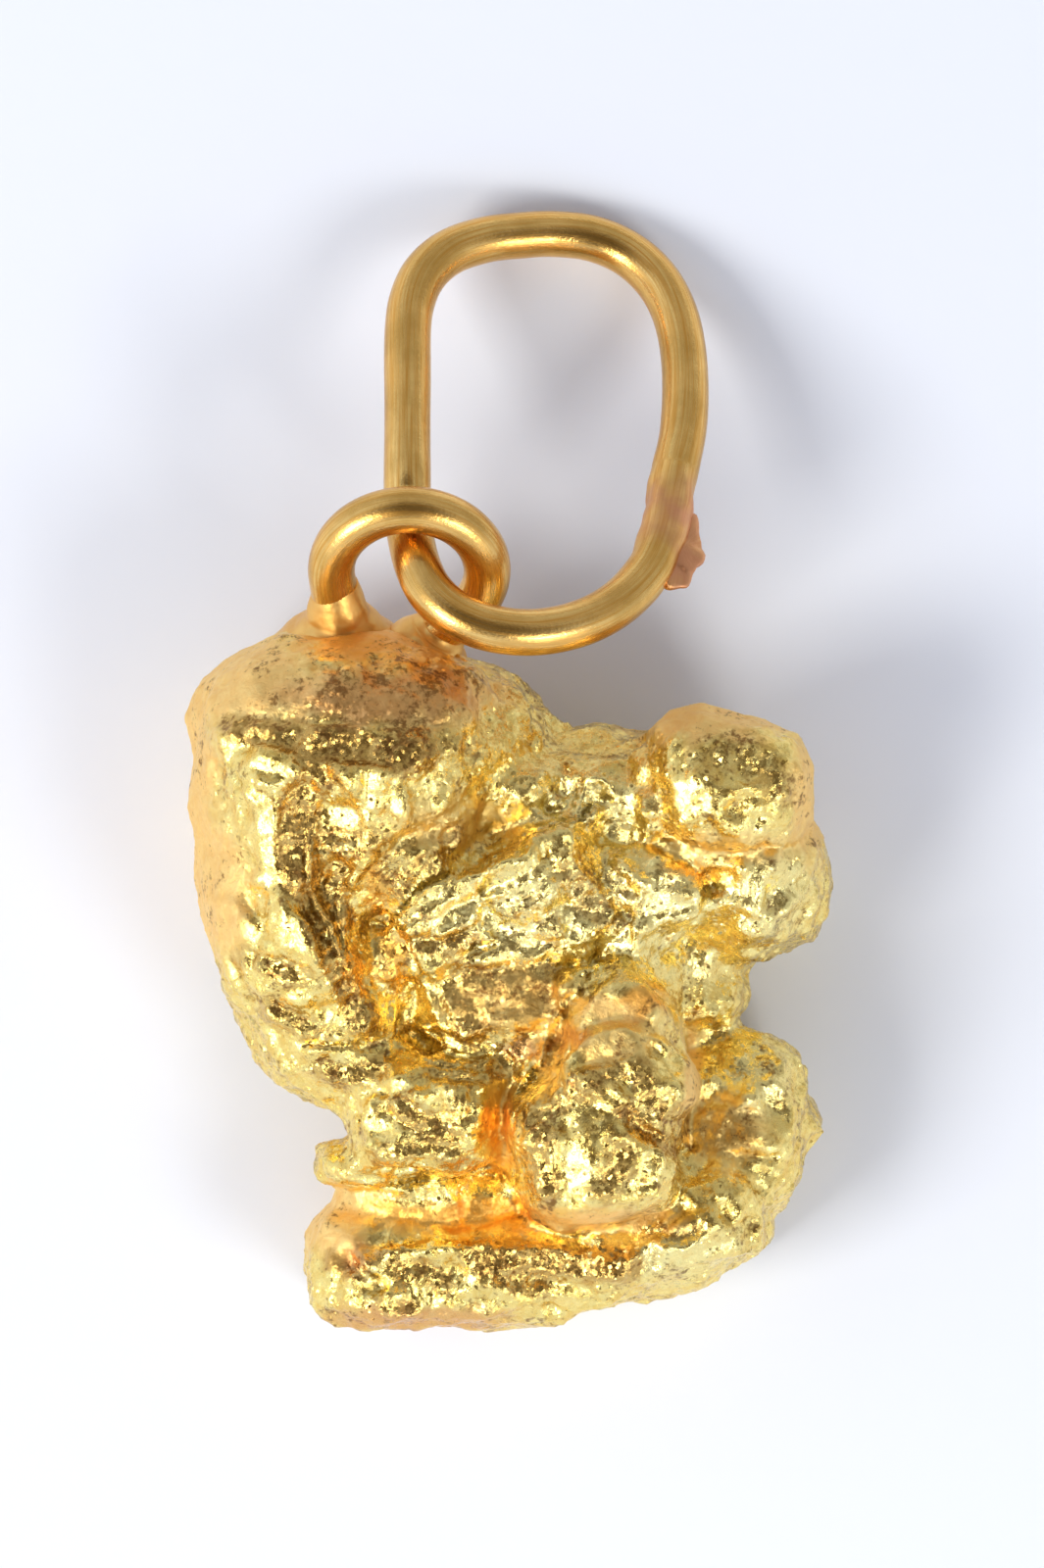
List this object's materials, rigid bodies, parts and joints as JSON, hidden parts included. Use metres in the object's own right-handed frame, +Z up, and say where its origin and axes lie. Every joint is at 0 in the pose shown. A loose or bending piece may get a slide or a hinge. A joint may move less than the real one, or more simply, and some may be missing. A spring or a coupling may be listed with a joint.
{
  "type": "gold nugget pendant",
  "caption": "Crumpled natural gold nugget worn as a pendant, with a soldered wire eye and a loose oval wire link that swings on the eye.",
  "frame": {"origin": "middle of the pendant's outline, on the surface it lies on", "axes": "+Y from the nugget towards the far end of the link, +Z up from the surface the pendant lies on"},
  "size_m": [0.0143, 0.025, 0.008],
  "materials": {
    "native_gold": "crumpled natural gold, bright on its creases and matte in its hollows",
    "gold_wire": "drawn gold wire, satin with a worn polish",
    "gold_solder": "flowed gold solder, warmer and more matte than the wire"
  },
  "bodies": {
    "root": {"nugget": "native_gold", "eye": "gold_wire", "solder_left": "gold_solder", "solder_right": "gold_solder"},
    "link": {"link": "gold_wire"}
  },
  "joints": [
    {"name": "link_swing", "type": "hinge", "parent": "root", "child": "link", "pos_m": [-0.00211, 0.00436, 0.00547], "axis": [0, -0.6428, 0.766], "range_deg": [-12, 110]}
  ]
}
